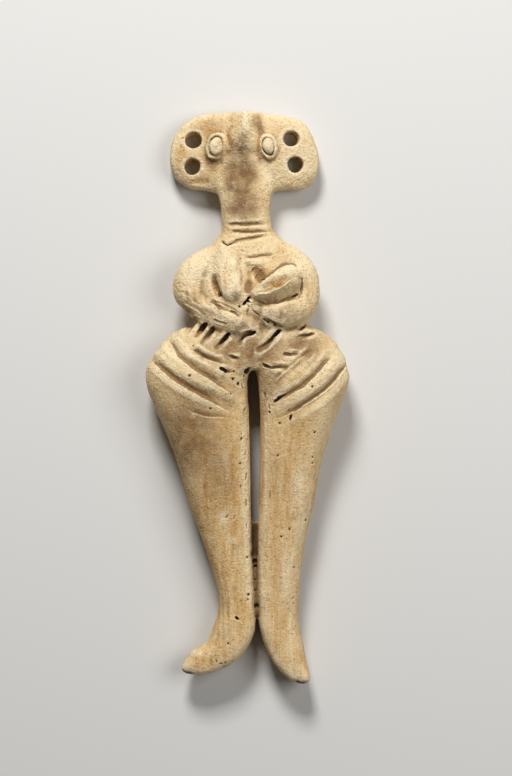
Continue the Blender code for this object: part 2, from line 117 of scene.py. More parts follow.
# Crests left beside the grooves over the hips. The stick's side dragged a slope down to each from above.
HIP_RIDGES = (
    Mark(((-24.8, 108.0), (-21.4, 102.2), (-15.1, 97.4), (-10.5, 94.6), (-5.0, 91.2)), 1.0, 0.50, 0.0),
    Mark(((-30.2, 101.8), (-27.2, 98.5), (-22.2, 94.5), (-17.2, 91.6), (-6.3, 85.7)), 1.0, 0.55, 0.0),
    Mark(((-18.0, 85.7), (-13.8, 84.0), (-6.7, 83.6)), 0.8, 0.20, 0.0),
    Mark(((-17.4, 105.0), (-14.2, 102.6), (-10.5, 101.2), (-6.8, 100.5)), 1.0, 0.55, 0.30),
    Mark(((20.3, 105.0), (15.5, 101.4), (11.3, 97.7), (7.5, 94.1)), 0.8, 0.32, 0.0),
    Mark(((26.6, 103.0), (22.2, 97.7), (18.0, 93.3), (13.4, 90.8), (9.4, 88.4)), 0.9, 0.40, 0.0),
    Mark(((32.0, 101.2), (28.5, 96.2), (24.3, 92.0), (15.5, 85.9), (10.0, 83.6)), 1.0, 0.48, 0.0),
)

# Crests on the chest: the edge of the right breast, and the top edges of two fingers of the left hand
CHEST_RIDGES = (
    Mark(((16.4, 129.4), (13.8, 131.4), (11.2, 130.9), (7.8, 128.2), (1.6, 123.6)), 0.7, 0.50, 0.0),
    Mark(((-1.2, 133.6), (3.8, 133.9), (9.6, 134.9)), 0.7, 0.30, 0.0),
    Mark(((-20.8, 119.8), (-17.0, 118.2), (-13.6, 116.0)), 0.6, 0.20, 0.0),
    Mark(((-21.6, 123.4), (-18.4, 121.6)), 0.6, 0.20, 0.0),
    Mark(((-17.4, 120.4), (-14.8, 119.2)), 0.5, 0.16, 0.0),
    Mark(((-12.4, 120.4), (-9.6, 118.0), (-6.2, 115.0)), 0.7, 0.48, 0.0),
    Mark(((-10.9, 126.4), (-9.4, 122.6), (-7.6, 120.6)), 0.5, 0.35, 0.0),
    Mark(((2.6, 122.4), (6.6, 122.9), (11.4, 125.0), (14.8, 127.6)), 0.5, 0.38, 0.0),
)

# Jabs round the waist and down the belly, and one in the right hip beside the gap. The stick goes in at a
# jab's first point and comes out at its last.
WAIST_JABS = (
    Mark(((-16.6, 114.9), (-19.9, 110.4)), 0.90, 1.0, 0.62),
    Mark(((-12.9, 113.2), (-16.6, 109.1)), 0.90, 1.0, 0.60),
    Mark(((-10.6, 111.7), (-14.6, 107.1)), 0.90, 0.7, 0.35),
    Mark(((-5.8, 109.9), (-9.8, 105.8)), 0.88, 1.2, 0.72),
    Mark(((2.4, 110.6), (-0.8, 109.4), (-2.9, 107.0)), 0.75, 1.1, 0.72),
    Mark(((9.9, 111.1), (6.4, 107.4), (3.4, 105.0)), 0.80, 1.2, 0.70),
    Mark(((18.3, 112.8), (16.0, 111.0)), 0.50, 0.7, 0.80),
    Mark(((21.0, 110.2), (18.1, 109.7), (14.9, 109.0)), 0.55, 0.6, 0.55),
    Mark(((11.2, 103.9), (13.4, 103.4), (16.0, 103.9)), 0.55, 0.5, 0.60),
    Mark(((4.8, 100.4), (7.4, 99.5), (12.6, 99.6)), 0.65, 0.7, 0.75),
    Mark(((-5.6, 103.0), (-3.6, 102.4), (-1.8, 102.1)), 0.60, 0.4, 0.45),
    Mark(((-8.6, 99.3), (-6.6, 98.3), (-4.4, 98.0)), 0.65, 0.8, 0.80),
    Mark(((8.5, 88.7), (11.0, 90.7), (13.8, 92.2)), 0.50, 0.9, 1.00),
)

# Lines cut round the neck, and the crack where the neck was pressed on to the shoulders
NECK_LINES = (
    Mark(((-6.8, 144.7), (0.0, 144.4), (6.9, 144.8)), 0.50, 0.30, 0.25),
    Mark(((-5.8, 142.4), (1.0, 142.0), (7.9, 142.4)), 0.50, 0.30, 0.25),
    Mark(((-8.5, 139.7), (-6.3, 138.0), (-4.0, 138.9)), 0.32, 0.45, 0.80),
    Mark(((-5.0, 138.8), (-3.5, 139.3), (2.0, 140.3), (7.6, 141.3)), 0.50, 0.28, 0.30),
)

# Creases between arm, breast and hand and between the fingers, and scratches in the ochre hollow. The last
# rows are the pale ridge below the ankle's jab, the two toe tips darkened with earth and painted shade along
# their lower edges, that jab, and the gap's ragged top with painted shade in it.
CREASES = (
    Mark(((-11.8, 120.6), (-8.0, 119.4), (-4.4, 117.8), (-1.8, 116.3)), 0.50, 0.28, 0.08),
    Mark(((-5.6, 117.2), (-4.2, 116.6), (-2.4, 115.7)), 0.55, 0.50, 0.28),
    Mark(((-10.8, 114.5), (-8.3, 113.6), (-6.4, 112.8)), 0.50, 0.40, 0.22),
    Mark(((-8.5, 121.6), (-9.3, 123.2)), 0.50, 0.50, 0.80),
    Mark(((17.0, 128.0), (17.2, 125.4), (16.8, 122.4)), 0.50, 0.35, 0.35),
    Mark(((16.0, 122.4), (14.6, 122.0), (13.5, 121.6)), 0.45, 0.60, 0.75),
    Mark(((12.8, 121.2), (9.5, 119.8), (6.1, 119.3), (1.9, 120.6)), 0.45, 0.35, 0.20),
    Mark(((0.5, 121.6), (-0.2, 120.3), (-1.4, 119.1)), 0.66, 1.30, 0.88),
    Mark(((1.2, 129.2), (2.9, 131.2)), 0.30, 0.25, 0.12),
    Mark(((2.4, 127.5), (4.7, 130.3)), 0.38, 0.28, 0.20),
    Mark(((3.9, 126.9), (6.0, 128.0)), 0.28, 0.20, 0.12),
    Mark(((-0.4, 120.9), (0.9, 119.9)), 0.45, 0.90, 0.65),
    Mark(((4.8, 114.8), (6.2, 113.8)), 0.42, 0.50, 0.55),
    Mark(((7.8, 112.9), (9.4, 112.2), (11.4, 112.1)), 0.42, 0.40, 0.20),
    Mark(((-2.4, 136.2), (1.2, 135.4)), 0.45, 0.20, 0.15),
    Mark(((0.2, 119.2), (0.2, 117.6), (-0.2, 116.2)), 0.55, 0.45, 0.30),
    Mark(((0.8, 119.0), (2.0, 117.2), (4.2, 115.2)), 0.42, 0.30, 0.12),
    Mark(((-2.8, 20.3), (-1.5, 18.9)), 0.32, -0.20, 0.00),
    Mark(((-21.2, 5.0), (-20.2, 3.6), (-16.6, 3.0)), 0.80, 0.06, 0.80),
    Mark(((15.0, 1.1), (17.2, 0.1), (19.0, 0.5)), 0.80, 0.06, 0.80),
    Mark(((-3.9, 21.3), (-2.6, 20.3)), 0.50, 0.80, 1.00),
    Mark(((-0.9, 98.4), (0.4, 97.4), (1.3, 96.2)), 0.60, 0.90, 1.00),
)

# Fine cracks where the clay dried: along the left arm, the right arm's edge and the legs' inner edges. The
# last three rows are two nicks in the left leg's inner side and a deep one in the right thigh.
CRACKS = (
    Mark(((-23.2, 125.3), (-21.6, 123.4), (-19.8, 122.0)), 0.30, 0.25, 0.30),
    Mark(((-20.6, 126.0), (-19.0, 124.6)), 0.28, 0.16, 0.12),
    Mark(((-20.4, 120.8), (-18.6, 119.6)), 0.28, 0.16, 0.15),
    Mark(((-16.8, 120.2), (-14.4, 119.2)), 0.28, 0.16, 0.12),
    Mark(((-14.6, 116.4), (-12.2, 115.8)), 0.28, 0.16, 0.15),
    Mark(((20.0, 128.6), (20.5, 126.4)), 0.28, 0.22, 0.25),
    Mark(((21.9, 125.2), (22.1, 122.6)), 0.28, 0.22, 0.30),
    Mark(((20.6, 122.4), (20.2, 120.4)), 0.28, 0.22, 0.25),
    Mark(((-1.6, 94.2), (-1.2, 92.6)), 0.40, 0.30, 0.50),
    Mark(((-0.8, 87.2), (-1.0, 85.6)), 0.34, 0.25, 0.45),
    Mark(((-0.4, 73.4), (-0.6, 71.8)), 0.34, 0.25, 0.45),
    Mark(((-0.2, 66.6), (-0.5, 64.0)), 0.42, 0.30, 0.60),
    Mark(((-2.0, 63.0), (-2.3, 61.2)), 0.36, 0.25, 0.40),
    Mark(((-0.5, 58.4), (-0.3, 55.6)), 0.40, 0.25, 0.55),
    Mark(((-0.2, 51.0), (-0.4, 48.4)), 0.34, 0.25, 0.45),
    Mark(((5.3, 91.8), (5.7, 89.8)), 0.40, 0.30, 0.50),
    Mark(((6.7, 88.4), (7.1, 86.4)), 0.40, 0.30, 0.55),
    Mark(((7.0, 61.0), (7.2, 57.6)), 0.36, 0.22, 0.42),
    Mark(((-5.8, 53.6), (-6.8, 52.0)), 0.35, 0.30, 0.30),
    Mark(((-4.2, 53.2), (-4.6, 51.6)), 0.32, 0.28, 0.30),
    Mark(((13.8, 84.8), (13.3, 82.8)), 0.42, 0.80, 1.00),
)

# Finger presses: broad and shallow. A negative depth is clay that stands proud.
PRESSES = (
    Mark(((3.4, 178.4), (4.0, 174.4)), 2.3, 0.40, 0.00),
    Mark(((-0.6, 171.6), (-0.8, 167.8)), 3.0, 0.85, 0.00),
    Mark(((-1.6, 164.6), (0.2, 164.4)), 3.6, -0.50, 0.00),
    Mark(((-10.2, 127.6), (-9.8, 125.4), (-9.0, 122.6)), 1.6, 0.50, 0.10),
    Mark(((-4.4, 131.0), (-3.6, 123.8)), 2.3, -0.45, 0.00),
    Mark(((-0.8, 181.0), (-0.5, 173.4)), 1.5, -0.35, 0.00),
    Mark(((0.5, 131.6), (0.4, 127.0), (0.2, 123.2)), 1.4, 0.45, 0.00),
    Mark(((-17.6, 157.8), (-12.8, 158.0)), 1.3, 0.25, 0.00),
    Mark(((17.0, 108.0), (8.0, 103.0)), 3.0, 0.25, 0.00),
    Mark(((-12.4, 164.4), (-8.6, 163.8)), 1.8, 0.25, 0.00),
    Mark(((-7.4, 173.6), (-5.9, 168.6)), 1.1, -0.55, 0.00),
    Mark(((-16.6, 10.2), (-15.4, 10.0)), 2.3, -0.35, 0.00),
    Mark(((3.0, 130.0), (4.0, 127.8)), 2.2, 0.55, 0.00),
    Mark(((6.0, 124.6), (11.6, 127.2)), 1.7, 0.55, 0.00),
    Mark(((13.8, 125.2), (14.6, 124.0)), 1.5, 0.20, 0.00),
    Mark(((-3.9, 123.2), (-3.6, 121.0)), 1.4, 0.30, 0.00),
    Mark(((-13.4, 118.8), (-9.4, 116.8)), 1.1, -0.25, 0.00),
    Mark(((-2.6, 111.4), (-0.8, 112.8)), 1.6, 0.20, 0.00),
)

# Where the two legs meet: a deep seam darkened with painted shade, darkest in its upper half
LEG_SEAM = (
    Mark(((1.9, 58.4), (2.1, 50.0), (2.3, 41.0)), 1.7, 0.20, 0.80),
    Mark(((2.3, 41.0), (2.6, 34.0), (2.9, 22.0)), 1.7, 0.20, 0.44),
)

# Eye pellets: the half axes of the ring pressed into each, its lean, and where it is worn and where its ring
# is painted with shade, in degrees
EYES = (
    Eye(-9.9, 169.2, 1.95, 2.85, -12.0, -60.0, 150.0),
    Eye(6.6, 169.2, 1.78, 2.60, 14.0, 5.0, -45.0),
)
# How high the pellet's middle, how deep its ring and how high the ring's rim, in millimetres
EYE_DOME = 0.64
EYE_RING_DEPTH = 0.80
EYE_RIM = 0.30
# The ring's half width, and the places of the rim and of the pellet's edge, as shares of the ring's half axes
RING_SPREAD = 0.14
RIM_AT = 1.25
RIM_SPREAD = 0.13
PELLET_EDGE = 1.62
# How far round a worn arc or an arc of painted shade reaches, and how much of the ring and of its rim is worn
# away in a worn one
EYE_ARC = 0.35
RING_WEAR = 0.6
RIM_WEAR = 0.7
# How uneven the dome and the rim are, as shares of their heights, and that unevenness's wavelength
DOME_UNEVEN = 0.35
RIM_UNEVEN = 1.2
UNEVEN_SIZE = 1.7
# The earth and painted shade in a ring, the painted shade that a shaded arc adds to it, and how pale its rim
# is rubbed, with a painted highlight
RING_DIRT_AND_SHADE = 0.42
ARC_SHADE = 0.55
RIM_RUB_AND_HIGHLIGHT = 0.5

# The ridge of the nose, smeared into the cheeks by a wet thumb
NOSE_SMEAR = Patch(-0.6, 168.5, 5.0, 6.5, 0.85)

# Stone pits and burnt-out straw: (x, height), radius and depth
PITS = (
    ((-1.8, 77.2), 0.52, 0.5),
    ((-2.2, 69.5), 0.44, 0.4),
    ((0.1, 40.1), 0.52, 0.5),
    ((0.5, 28.4), 0.55, 0.5),
    ((0.1, 26.7), 0.44, 0.4),
    ((-6.1, 12.9), 0.47, 0.4),
    ((-9.6, 7.4), 0.44, 0.4),
    ((-8.4, 6.4), 0.49, 0.4),
    ((-6.8, 6.8), 0.42, 0.4),
    ((-7.6, 5.4), 0.39, 0.3),
    ((10.1, 82.2), 0.47, 0.5),
    ((21.1, 79.3), 0.49, 0.5),
    ((20.5, 71.6), 0.44, 0.4),
    ((20.5, 69.7), 0.44, 0.4),
    ((9.5, 71.9), 0.44, 0.4),
    ((18.4, 51.8), 0.55, 0.5),
    ((13.2, 49.0), 0.49, 0.4),
    ((10.6, 46.6), 0.44, 0.4),
    ((20.2, 93.7), 0.47, 0.5),
    ((6.8, 85.6), 0.47, 0.5),
    ((-2.4, 118.4), 0.52, 0.6),
    ((0.2, 121.2), 0.60, 0.9),
    ((6.3, 113.6), 0.55, 0.8),
    ((8.5, 112.8), 0.50, 0.7),
    ((-0.3, 98.4), 0.95, 1.1),
    ((-0.9, 97.0), 0.60, 0.8),
    ((0.6, 99.0), 0.60, 0.8),
    ((-16.9, 106.4), 0.39, 0.4),
    ((-4.2, 98.2), 0.44, 0.5),
    ((-2.9, 94.4), 0.59, 0.6),
    ((-4.4, 96.0), 0.55, 0.6),
    ((-5.2, 91.2), 0.39, 0.4),
    ((-18.0, 97.0), 0.55, 0.5),
    ((-11.6, 86.6), 0.44, 0.5),
    ((-0.6, 97.6), 0.50, 0.8),
    ((0.4, 98.4), 0.55, 0.7),
    ((2.4, 97.6), 0.47, 0.5),
    ((1.8, 130.2), 0.39, 0.3),
    ((4.8, 127.4), 0.42, 0.4),
    ((2.3, 38.6), 0.85, 0.7),
    ((2.5, 37.2), 0.65, 0.6),
    ((2.8, 24.6), 0.80, 0.7),
    ((2.5, 29.6), 0.50, 0.4),
    ((2.5, 33.0), 0.47, 0.4),
)

# Scattered pits: their chance on plain clay beside 1 more in a crumbly place, the least radius, what the
# largest adds to it, and the power that keeps large ones rare
PIT_CHANCE = 0.10
PIT_RADIUS = 0.20
PIT_SPREAD = 0.20
PIT_RARITY = 3
# How dirty any pit is, earth and painted shade together, for each millimetre of its radius
PIT_DIRT_AND_SHADE = 2.2

# Crumbly places, where more pits lie
ROUGHS = (
    Patch(-19.0, 120.5, 6.5, 5.5, 1.0),
    Patch(-4.0, 115.5, 7.0, 4.0, 0.7),
    Patch(8.0, 116.5, 8.0, 3.4, 0.6),
    Patch(0.0, 128.0, 18.0, 8.0, 0.6),
    Patch(-5.0, 105.0, 14.0, 5.0, 0.5),
    Patch(21.8, 123.5, 2.2, 6.0, 1.0),
    Patch(3.4, 129.0, 2.2, 2.4, 0.8),
    Patch(9.0, 126.0, 4.0, 2.0, 0.6),
    Patch(0.0, 135.0, 9.0, 4.0, 0.7),
    Patch(-1.0, 82.0, 1.6, 16.0, 0.8),
    Patch(6.0, 84.0, 1.8, 12.0, 0.8),
    Patch(2.4, 30.0, 2.6, 12.0, 1.0),
    Patch(0.5, 98.0, 2.6, 1.8, 1.0),
    Patch(-12.0, 166.0, 12.0, 12.0, 0.35),
    Patch(14.0, 166.0, 9.0, 12.0, 0.35),
)

# Dark stain left by the ground, and painted shade: on the belly, under the nose, beside its ridge, below the
# left eye, below the arms and hands, on the left thigh and at the toe tips. Warmer ochre patches. Pale,
# rubbed skin, and painted highlights on the nose's crest, the shoulders, the arms, the right cheek, thigh and
# shin.
STAINS_AND_SHADE = (
    Patch(-2.1, 159.5, 4.6, 9.5, 1.40),
    Patch(-1.5, 150.5, 5.6, 6.5, 1.05),
    Patch(-1.8, 168.6, 3.2, 4.4, 0.85),
    Patch(-13.0, 175.5, 8.0, 3.6, 0.42),
    Patch(-20.0, 162.0, 6.0, 7.0, 0.36),
    Patch(-11.0, 163.4, 2.6, 2.4, 0.75),
    Patch(-13.5, 159.5, 4.0, 2.6, 0.35),
    Patch(2.9, 176.4, 3.0, 2.8, 0.66),
    Patch(-4.0, 122.0, 1.7, 1.5, 0.90),
    Patch(6.6, 120.8, 4.8, 1.4, 0.60),
    Patch(9.4, 126.0, 3.6, 1.2, 0.35),
    Patch(0.5, 126.6, 1.1, 4.2, 0.40),
    Patch(-7.0, 124.5, 0.9, 3.0, 0.35),
    Patch(3.4, 128.8, 2.0, 2.0, 0.45),
    Patch(-15.6, 116.8, 8.0, 3.2, 0.80),
    Patch(-13.0, 102.8, 3.6, 1.2, 0.85),
    Patch(10.0, 116.6, 9.0, 3.4, 0.75),
    Patch(-1.0, 112.8, 8.0, 4.0, 0.70),
    Patch(-9.0, 114.0, 6.0, 2.4, 0.60),
    Patch(-16.6, 121.6, 4.0, 2.2, 0.50),
    Patch(-13.0, 116.5, 6.0, 2.4, 0.45),
    Patch(0.0, 104.5, 15.0, 7.0, 0.98),
    Patch(18.0, 106.5, 7.5, 5.5, 0.92),
    Patch(8.0, 94.0, 6.0, 9.0, 0.75),
    Patch(-12.0, 93.0, 12.0, 6.0, 0.48),
    Patch(-17.0, 78.0, 11.0, 19.0, 0.80),
    Patch(-10.0, 66.0, 8.0, 16.0, 0.60),
    Patch(-17.0, 56.0, 4.0, 22.0, 0.45),
    Patch(15.0, 86.0, 9.0, 9.0, 0.45),
    Patch(-6.0, 90.0, 5.0, 7.0, 0.50),
    Patch(9.0, 66.0, 6.0, 12.0, 0.35),
    Patch(-19.8, 3.8, 3.0, 1.2, 1.30),
    Patch(17.8, 1.4, 2.6, 1.2, 1.30),
    Patch(-7.5, 16.5, 3.6, 2.4, 0.35),
    Patch(-7.8, 6.4, 2.4, 1.4, 0.40),
)
OCHRES = (
    Patch(-11.5, 173.5, 4.5, 3.0, 0.75),
    Patch(-6.4, 170.5, 1.6, 3.4, 0.95),
    Patch(-10.0, 165.8, 3.0, 1.8, 0.70),
    Patch(3.6, 169.0, 1.4, 3.4, 0.85),
    Patch(7.2, 165.6, 3.0, 1.6, 0.60),
    Patch(10.0, 174.0, 3.0, 2.0, 0.45),
    Patch(-16.0, 160.0, 5.0, 3.0, 0.60),
    Patch(-16.6, 121.6, 3.6, 2.0, 0.60),
    Patch(-22.0, 166.0, 2.6, 5.0, 0.60),
    Patch(17.5, 158.5, 4.0, 2.4, 0.30),
    Patch(0.0, 143.4, 8.0, 2.4, 0.50),
    Patch(-1.0, 139.8, 6.0, 0.8, 0.55),
    Patch(4.4, 134.2, 6.0, 1.0, 0.75),
    Patch(3.4, 128.8, 2.2, 2.4, 0.85),
    Patch(1.1, 127.2, 1.7, 4.4, 0.80),
    Patch(-7.2, 127.0, 1.0, 5.0, 0.75),
    Patch(9.0, 125.8, 4.4, 1.6, 0.85),
    Patch(-10.0, 124.8, 1.3, 4.0, 0.95),
    Patch(19.0, 125.0, 0.9, 6.0, 0.75),
    Patch(15.4, 126.6, 1.4, 3.4, 0.60),
    Patch(-4.4, 130.0, 1.4, 5.0, 0.35),
    Patch(-6.0, 135.0, 6.0, 1.6, 0.35),
    Patch(-14.0, 111.0, 6.0, 2.4, 0.70),
    Patch(-13.0, 103.0, 5.0, 1.8, 0.55),
    Patch(26.0, 97.0, 4.0, 4.0, 0.30),
    Patch(-9.0, 84.0, 6.0, 3.0, 0.30),
    Patch(-4.4, 56.0, 1.6, 20.0, 0.60),
    Patch(9.0, 52.0, 2.4, 22.0, 0.45),
    Patch(12.0, 24.0, 2.4, 9.0, 0.40),
    Patch(-12.0, 40.0, 1.6, 14.0, 0.40),
    Patch(-8.0, 12.0, 5.0, 4.0, 0.35),
    Patch(15.5, 10.0, 1.6, 7.0, 0.35),
)
PALES_AND_HIGHLIGHTS = (
    Patch(-10.0, 132.0, 13.0, 7.0, 0.80),
    Patch(-16.4, 129.6, 6.0, 4.6, 0.95),
    Patch(-5.0, 127.0, 3.0, 5.0, 0.70),
    Patch(12.0, 130.5, 3.6, 1.2, 0.85),
    Patch(18.5, 131.0, 6.0, 6.0, 0.80),
    Patch(-0.6, 175.0, 1.8, 5.5, 0.75),
    Patch(16.0, 165.0, 7.0, 7.0, 0.60),
    Patch(7.0, 160.0, 3.4, 5.0, 0.60),
    Patch(-3.4, 127.0, 1.6, 5.0, 0.90),
    Patch(-7.0, 52.5, 3.0, 2.4, 0.70),
    Patch(-4.3, 45.4, 1.0, 1.6, 0.80),
    Patch(-20.6, 76.9, 0.6, 1.6, 0.90),
    Patch(-24.0, 106.0, 7.0, 4.0, 0.60),
    Patch(-12.0, 107.0, 4.0, 1.4, 0.50),
    Patch(29.0, 104.0, 4.0, 5.0, 0.65),
    Patch(24.0, 84.0, 5.0, 18.0, 0.60),
    Patch(13.0, 33.0, 6.0, 14.0, 0.55),
    Patch(17.5, 56.0, 4.0, 20.0, 0.65),
    Patch(5.0, 24.0, 4.0, 14.0, 0.35),
    Patch(-4.0, 14.0, 3.0, 10.0, 0.40),
    Patch(15.0, 16.0, 4.0, 12.0, 0.50),
)

# Painted highlights in strips down the inner edges of the legs, on flat facets that face the light
HIGHLIGHT_STRIPS = (
    Mark(((-0.6, 90.0), (-1.0, 74.0), (-0.9, 60.0), (-0.2, 44.0), (0.2, 26.0)), 1.9, 0.0, 0.0),
    Mark(((5.6, 88.0), (5.8, 62.0), (5.4, 40.0)), 0.7, 0.0, 0.0),
)
STRIP_HIGHLIGHT = 0.8

# How narrow a mark gets where it is shallow, and how many half widths from its line it can still reach
NARROWEST = 0.45
MARK_REACH = 3.5
# A cut's lip: its height as a share of the cut's depth, and its place and spread in half widths
LIP_HEIGHT = 0.30
LIP_AT = 1.2
LIP_SPREAD = 0.28
# A crest, across its line in half widths: where the slope above it starts and ends, where its wall starts and
# ends, and how soon it falls away below. Its height is a share of the mark's depth.
SLOPE_START = -2.4
SLOPE_END = -0.35
WALL_START = -0.3
WALL_END = 0.05
CREST_FALL = 0.55
CREST_HEIGHT = 1.1

# How rough the clay is: wavelength in millimetres, how drawn out along the figure, and height in millimetres
LUMPS = (
    (4.5, 1.0, 0.16),
    (2.0, 1.0, 0.09),
    (0.95, 1.0, 0.05),
    (1.5, 7.0, 0.06),
)
# The legs were wiped smooth: full roughness above the upper height, this share of it below the lower one
WIPED_HEIGHTS = (62.0, 106.0)
WIPED_SHARE = 0.5
# The share of the roughness that plain clay has, and what a crumbly place adds
PLAIN_SHARE = 0.8
CRUMBLY_SHARE = 1.3

# How an unsteady hand puts edges, lines and stains out of place: the wavelength and the amount in millimetres
CRUMBLING = (0.9, 0.17)
WAVERING = (3.0, 0.32)
STAIN_DRIFT = (4.0, 1.6)
STAIN_FRAY = (1.5, 0.5)

# How far the surface faces the front, from -1 to 1: where the smear, the marks and the stains start and where
# they are full, past what the named pits may lie, and below what the plain back begins
SMEARED_FACING = (-0.2, 0.4)
MARKED_FACING = (-0.05, 0.35)
STAINED_FACING = (-0.2, 0.5)
PITTED_FACING = 0.2
BACK_FACING = -0.15

# A place is hollow by how far it lies below itself smoothed so many times, and wholly so at this depth
HOLLOW_ROUNDS = 40
HOLLOW_DEPTH = 0.30
# The solid's loose triangles are joined where their corners are closer than this
JOINED_GAP = 0.001

# Patterns of the clay's skin: name, size in millimetres, detail, roughness, and how drawn out along it.
# The sand in such clay is 0.2 to 0.5 mm, so it is drawn slightly coarse, at 0.6, for the render to show it.
CLAY_PATTERNS = (
    ("broad", 16.0, 4.0, 0.55, 1.0),
    ("iron", 9.0, 4.0, 0.65, 1.0),
    ("mottle", 4.5, 4.0, 0.60, 1.0),
    ("streak", 2.4, 4.0, 0.60, 9.0),
    ("drag", 0.9, 3.0, 0.65, 9.0),
    ("fleck", 1.4, 3.0, 0.70, 1.0),
    ("sand", 0.6, 2.0, 0.70, 1.0),
)

# Where a layer of colour shows: name, the pattern it reads, from and to which values, and its share at both
CLAY_MASKS = (
    # Lower on the figure the clay turns warmer and darker: the legs' own tone, and painted shade
    ("legs", "height up", 0.020, -0.035, 0.0, 1.0),
    ("skin", "height up", 0.018, -0.010, 0.90, 0.50),
    ("patchy", "mottle", 0.25, 0.62, 0.65, 1.0),
    ("paling_patches", "fleck", 0.28, 0.60, 0.35, 1.0),
    ("gritty", "mottle", 0.38, 0.60, 0.35, 1.0),
)

# Layers of colour over the plain clay: pattern, from and to which values, share, mask and colour
CLAY_LAYERS = (
    ("broad", 0.35, 0.68, 0.50, "skin", "pale"),
    ("mottle", 0.45, 0.75, 0.45, "skin", "pale"),
    ("iron", 0.50, 0.76, 0.24, None, "ochre"),
    ("mottle", 0.50, 0.34, 0.55, "legs", "clay"),
    ("streak", 0.50, 0.66, 0.64, "legs", "ochre"),
    ("streak", 0.48, 0.34, 0.75, "legs", "clay"),
    ("streak", 0.43, 0.30, 0.60, "legs", "pale"),
    ("drag", 0.52, 0.66, 0.36, "legs", "stain"),
    ("drag", 0.46, 0.34, 0.45, "legs", "pale"),
    ("fleck", 0.43, 0.28, 0.60, "skin", "pale"),
    ("sand", 0.43, 0.32, 0.65, "skin", "pale"),
    ("ochre", 0.0, 1.0, 1.0, "patchy", "ochre"),
    # Paleness of rubbing, with painted highlights on crests, eye rims, the legs' strips and lit places
    ("rub", 0.0, 1.0, 0.90, "paling_patches", "pale"),
    # Ground stain, with painted shade under the nose and arms, on the belly and on the left thigh
    ("stain", 0.0, 1.0, 0.95, "patchy", "stain"),
    # Painted shade in the hollows, and a painted highlight on the bulges
    ("hollow", 0.06, 0.90, 0.75, None, "stain"),
    ("hollow", -0.10, -0.80, 0.65, None, "pale"),
    ("fleck", 0.54, 0.72, 0.60, "gritty", "ochre"),
    ("sand", 0.55, 0.68, 0.60, "gritty", "stain"),
    ("sand", 0.42, 0.30, 0.22, "skin", "pale"),
    # Earth and painted shade in the cuts, the eye rings and the pits
    ("grime", 0.0, 1.0, 0.97, None, "grime"),
)

# The grain that the light catches: pattern, and its share or the mask that gives it. Its height is in metres.
CLAY_GRAIN = (
    ("sand", "skin"),
    ("fleck", "skin"),
    ("mottle", 0.5),
    ("streak", 0.5),
)
GRAIN_HEIGHT = 0.0005
# From and to which values of the sand the roughness rises, and from and to what
CLAY_ROUGHNESS = (0.3, 0.7, 0.80, 0.98)


def linear(code):
    """An sRGB hex colour as Blender's linear RGBA."""
    shares = [int(code[i : i + 2], 16) / 255 for i in (0, 2, 4)]
    return (*[s / 12.92 if s <= 0.04045 else ((s + 0.055) / 1.055) ** 2.4 for s in shares], 1.0)


class ClaySurface(bpy.types.PropertyGroup):
    """Sizes of the worked surface."""

    grain: bpy.props.FloatProperty(
        name="Grain",
        description="Spacing of the surface's points",
        default=0.26 * MM,
        unit="LENGTH",
        precision=5,
    )
    smearing: bpy.props.IntProperty(
        name="Smearing", description="How many times wet fingers smooth the clay", default=24, min=0
    )
    nose_smearing: bpy.props.IntProperty(
        name="Nose smearing", description="How many times the nose is smoothed into the cheeks", default=120
    )
    roughness: bpy.props.FloatProperty(
        name="Roughness", description="How rough the clay is, as a share of the heights in LUMPS", default=1.0
    )
    triangles: bpy.props.IntProperty(
        name="Triangles", description="The finished piece is thinned to this many", default=192000, min=1000
    )
    back_share: bpy.props.FloatProperty(
        name="Back share",
        description="Share of the plain back's triangles that stays",
        default=0.15,
        min=0.01,
        max=1.0,
        subtype="FACTOR",
    )
    pits: bpy.props.IntProperty(
        name="Pits", description="Small pits scattered over the surface", default=110, min=0
    )


class ClayColours(bpy.types.PropertyGroup):
    """Colours of the fired clay."""

    clay: bpy.props.FloatVectorProperty(
        name="Clay",
        description="Buff of the fired clay",
        default=linear("DBBD8A"),
        size=4,
        subtype="COLOR",
    )
    # Also used for painted highlights on crests, rims and lit places
    pale: bpy.props.FloatVectorProperty(
        name="Pale",
        description="Dry, rubbed skin of the clay",
        default=linear("EBD9B4"),
        size=4,
        subtype="COLOR",
    )
    # Partly the legs' own tone, partly painted shade
    leg: bpy.props.FloatVectorProperty(
        name="Leg clay",
        description="Warmer buff of the legs",
        default=linear("D5AC6C"),
        size=4,
        subtype="COLOR",
    )
    ochre: bpy.props.FloatVectorProperty(
        name="Ochre",
        description="Iron-rich patches",
        default=linear("C08A48"),
        size=4,
        subtype="COLOR",
    )
    # The ground's brown stain, also used for painted shade in hollows and shaded places
    stain: bpy.props.FloatVectorProperty(
        name="Stain",
        description="Brown stain of the ground",
        default=linear("755636"),
        size=4,
        subtype="COLOR",
    )
    # Earth in the cuts, also used as painted shade in the cuts, the eye rings, the pits and the legs' seam
    grime: bpy.props.FloatVectorProperty(
        name="Grime",
        description="Earth left in the cuts",
        default=linear("3A2514"),
        size=4,
        subtype="COLOR",
    )


class Studio(bpy.types.PropertyGroup):
    """Camera, lights and floor."""

    distance: bpy.props.FloatProperty(
        name="Camera distance", description="From the figure's face side", default=1.2, unit="LENGTH"
    )
    key_power: bpy.props.FloatProperty(
        name="Key", description="Power of the soft key light in watts", default=8.2, unit="POWER"
    )
    fill_power: bpy.props.FloatProperty(
        name="Fill", description="Power of the fill light in watts", default=3.3, unit="POWER"
    )
    ambient: bpy.props.FloatProperty(
        name="Ambient", description="Strength of the light all round", default=0.07
    )
    floor: bpy.props.FloatVectorProperty(
        name="Floor",
        description="Pale floor",
        default=linear("D6D4D0"),
        size=4,
        subtype="COLOR",
    )


def ramp(values, low, high):
    """0 below low, 1 above high, and a smooth rise between."""
    t = np.clip((values - low) / (high - low), 0, 1)
    return t * t * (3 - 2 * t)


